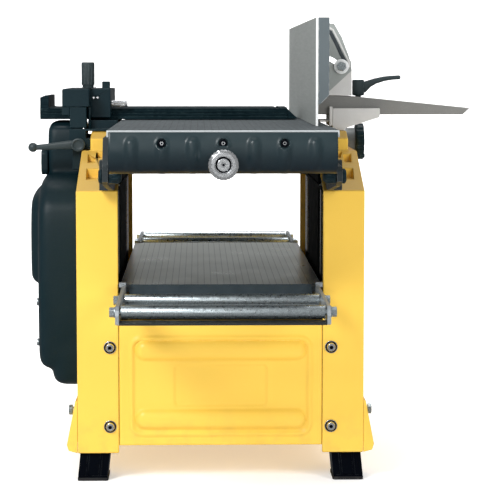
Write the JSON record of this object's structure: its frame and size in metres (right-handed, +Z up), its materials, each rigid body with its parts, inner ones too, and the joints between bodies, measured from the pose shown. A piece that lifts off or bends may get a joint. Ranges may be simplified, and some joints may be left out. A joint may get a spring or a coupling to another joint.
{
  "type": "surface planer and thicknesser",
  "caption": "Bench surface planer and thicknesser: tilting sliding fence, bridge guard and cutterblock over a rising table with extension rollers, between folded side frames on splayed legs.",
  "frame": {"origin": "centre of the four foot bolts, level with the undersides of the feet", "axes": "+X to the right of someone at the surfacing infeed end, towards the fence; +Y along the tables, from surfacing infeed to outfeed; +Z up"},
  "size_m": [0.6192, 0.941, 0.6134],
  "materials": {
    "yellow": "satin powder coat",
    "black_steel": "satin",
    "black_plastic": "fine-grained",
    "rubber": "matt",
    "zinc": "brushed",
    "chrome": "polished",
    "table_alu": "fine lengthwise grain",
    "cast_alu": "as cast",
    "fence_alu": "anodised",
    "light_alu": "blasted",
    "arm_grey": "grey enamel",
    "tool_steel": "ground",
    "green_button": "gloss",
    "red_button": "gloss"
  },
  "bodies": {
    "frame": {"side_frame_left": "yellow", "side_frame_right": "yellow", "front_panel": "yellow", "rear_panel": "yellow", "base_tray": "yellow", "panel_screws": "chrome", "legs": "black_steel", "leg_covers": "yellow", "hex_bolts": "zinc", "foot_pads": "rubber", "inner_plates": "black_steel", "guide_columns": "tool_steel", "block_bearings": "tool_steel", "motor_housing": "cast_alu", "drive_belt": "rubber", "belt_cover": "black_plastic", "cover_screws": "zinc", "switch_box": "black_plastic", "cable_gland": "black_plastic", "table_cheeks": "cast_alu", "outfeed_table": "table_alu", "outfeed_apron": "black_plastic", "feed_gearbox": "cast_alu", "wheel_housing": "cast_alu", "guard_bracket": "black_steel", "fence_block": "light_alu"},
    "infeed": {"infeed_table": "table_alu", "infeed_apron": "black_plastic", "apron_screws": "zinc"},
    "depth_knob": {"depth_knob": "chrome"},
    "lock_knob_left": {"lock_knob_left": "black_plastic"},
    "lock_knob_right": {"lock_knob_right": "black_plastic"},
    "cutterblock": {"cutterblock": "tool_steel", "knives": "tool_steel"},
    "motor_rotor": {"motor_rotor": "tool_steel"},
    "feed_roller_front": {"feed_roller_front": "rubber"},
    "feed_roller_rear": {"feed_roller_rear": "tool_steel"},
    "kickback_fingers": {"kickback_fingers": "tool_steel"},
    "height_wheel": {"height_wheel": "black_plastic"},
    "lead_screw": {"lead_screw": "tool_steel"},
    "thickness_table": {"thickness_table": "table_alu", "roller_brackets": "zinc", "roller_axles": "zinc"},
    "roller_front_outer": {"roller_front_outer": "zinc"},
    "roller_front_inner": {"roller_front_inner": "zinc"},
    "roller_rear_inner": {"roller_rear_inner": "zinc"},
    "roller_rear_outer": {"roller_rear_outer": "zinc"},
    "guard_carrier": {"guard_carrier": "black_plastic"},
    "guard_bar": {"guard_bar": "black_steel"},
    "guard_knob": {"guard_knob": "black_plastic"},
    "guard_screw": {"guard_screw": "chrome"},
    "guard_lever": {"guard_lever": "black_plastic"},
    "fence_arm": {"fence_arm": "arm_grey", "fence_base": "light_alu"},
    "fence": {"fence_plate": "fence_alu", "fence_end": "arm_grey", "fence_quadrant": "light_alu"},
    "fence_lever": {"fence_lever": "black_plastic"},
    "start_button": {"start_button": "green_button"},
    "stop_button": {"stop_button": "red_button"}
  },
  "joints": [
    {"name": "infeed_height", "type": "slide", "parent": "frame", "child": "infeed", "axis": [0, 0, 1], "range_m": [-0.003, 0]},
    {"name": "depth_turn", "type": "hinge", "parent": "infeed", "child": "depth_knob", "pos_m": [0, -0.47, 0.4366], "axis": [0, 1, 0], "range_deg": [-270, 0]},
    {"name": "lock_turn_left", "type": "hinge", "parent": "frame", "child": "lock_knob_left", "pos_m": [-0.14, -0.392, 0.418], "axis": [1, 0, 0], "range_deg": [0, 90]},
    {"name": "lock_turn_right", "type": "hinge", "parent": "frame", "child": "lock_knob_right", "pos_m": [0.14, -0.392, 0.418], "axis": [1, 0, 0], "range_deg": [0, 90]},
    {"name": "cutter_spin", "type": "hinge", "parent": "frame", "child": "cutterblock", "pos_m": [0, 0, 0.4445], "axis": [1, 0, 0], "continuous": true},
    {"name": "motor_spin", "type": "hinge", "parent": "frame", "child": "motor_rotor", "pos_m": [-0.1, -0.11, 0.172], "axis": [1, 0, 0], "continuous": true},
    {"name": "feed_front_spin", "type": "hinge", "parent": "frame", "child": "feed_roller_front", "pos_m": [0, -0.057, 0.427], "axis": [1, 0, 0], "continuous": true},
    {"name": "feed_rear_spin", "type": "hinge", "parent": "frame", "child": "feed_roller_rear", "pos_m": [0, 0.057, 0.427], "axis": [1, 0, 0], "continuous": true},
    {"name": "kickback_swing", "type": "hinge", "parent": "frame", "child": "kickback_fingers", "pos_m": [0, 0.088, 0.438], "axis": [1, 0, 0], "range_deg": [-20, 0]},
    {"name": "height_turn", "type": "hinge", "parent": "frame", "child": "height_wheel", "pos_m": [0.2, 0.112, 0.438], "axis": [1, 0, 0], "range_deg": [-900, 12420]},
    {"name": "screw_turn", "type": "hinge", "parent": "frame", "child": "lead_screw", "pos_m": [0.163, 0.112, 0.2], "axis": [0, 0, 1], "range_deg": [-900, 12420]},
    {"name": "table_height", "type": "slide", "parent": "frame", "child": "thickness_table", "axis": [0, 0, 1], "range_m": [-0.01, 0.138]},
    {"name": "roller_front_outer_spin", "type": "hinge", "parent": "thickness_table", "child": "roller_front_outer", "pos_m": [0, -0.442, 0.2585], "axis": [1, 0, 0], "continuous": true},
    {"name": "roller_front_inner_spin", "type": "hinge", "parent": "thickness_table", "child": "roller_front_inner", "pos_m": [0, -0.344, 0.2585], "axis": [1, 0, 0], "continuous": true},
    {"name": "roller_rear_inner_spin", "type": "hinge", "parent": "thickness_table", "child": "roller_rear_inner", "pos_m": [0, 0.344, 0.2585], "axis": [1, 0, 0], "continuous": true},
    {"name": "roller_rear_outer_spin", "type": "hinge", "parent": "thickness_table", "child": "roller_rear_outer", "pos_m": [0, 0.442, 0.2585], "axis": [1, 0, 0], "continuous": true},
    {"name": "guard_height", "type": "slide", "parent": "frame", "child": "guard_carrier", "axis": [0, 0, 1], "range_m": [0, 0.045]},
    {"name": "guard_bar_slide", "type": "slide", "parent": "guard_carrier", "child": "guard_bar", "axis": [-1, 0, 0], "range_m": [0, 0.13]},
    {"name": "guard_knob_turn", "type": "hinge", "parent": "guard_carrier", "child": "guard_knob", "pos_m": [-0.1845, -0.07, 0.53], "axis": [0, 0, 1], "range_deg": [0, 270]},
    {"name": "guard_screw_turn", "type": "hinge", "parent": "guard_carrier", "child": "guard_screw", "pos_m": [-0.14, -0.061, 0.4994], "axis": [1, 0, 0], "range_deg": [0, 270]},
    {"name": "guard_lever_turn", "type": "hinge", "parent": "frame", "child": "guard_lever", "pos_m": [-0.195, -0.113, 0.444], "axis": [0, 1, 0], "range_deg": [0, 60]},
    {"name": "fence_slide", "type": "slide", "parent": "frame", "child": "fence_arm", "axis": [-1, 0, 0], "range_m": [0, 0.13]},
    {"name": "fence_tilt", "type": "hinge", "parent": "fence_arm", "child": "fence", "pos_m": [0.1335, 0, 0.5125], "axis": [0, 1, 0], "range_deg": [0, 45]},
    {"name": "fence_lever_turn", "type": "hinge", "parent": "frame", "child": "fence_lever", "pos_m": [0.1982, -0.06, 0.52], "axis": [0, 0, 1], "range_deg": [0, 90]},
    {"name": "start_press", "type": "slide", "parent": "frame", "child": "start_button", "axis": [1, 0, 0], "range_m": [0, 0.002], "stiffness_N_per_m": 500},
    {"name": "stop_press", "type": "slide", "parent": "frame", "child": "stop_button", "axis": [1, 0, 0], "range_m": [0, 0.002], "stiffness_N_per_m": 500}
  ],
  "couplings": [
    {"joint": "depth_turn", "follows": "infeed_height", "rad_per_m": 1570.8},
    {"joint": "motor_spin", "follows": "cutter_spin", "ratio": 0.71429},
    {"joint": "feed_front_spin", "follows": "cutter_spin", "ratio": -0.01},
    {"joint": "feed_rear_spin", "follows": "cutter_spin", "ratio": -0.01},
    {"joint": "height_turn", "follows": "table_height", "rad_per_m": 1570.8},
    {"joint": "screw_turn", "follows": "table_height", "rad_per_m": 1570.8},
    {"joint": "guard_bar_slide", "follows": "fence_slide", "ratio": 1}
  ]
}
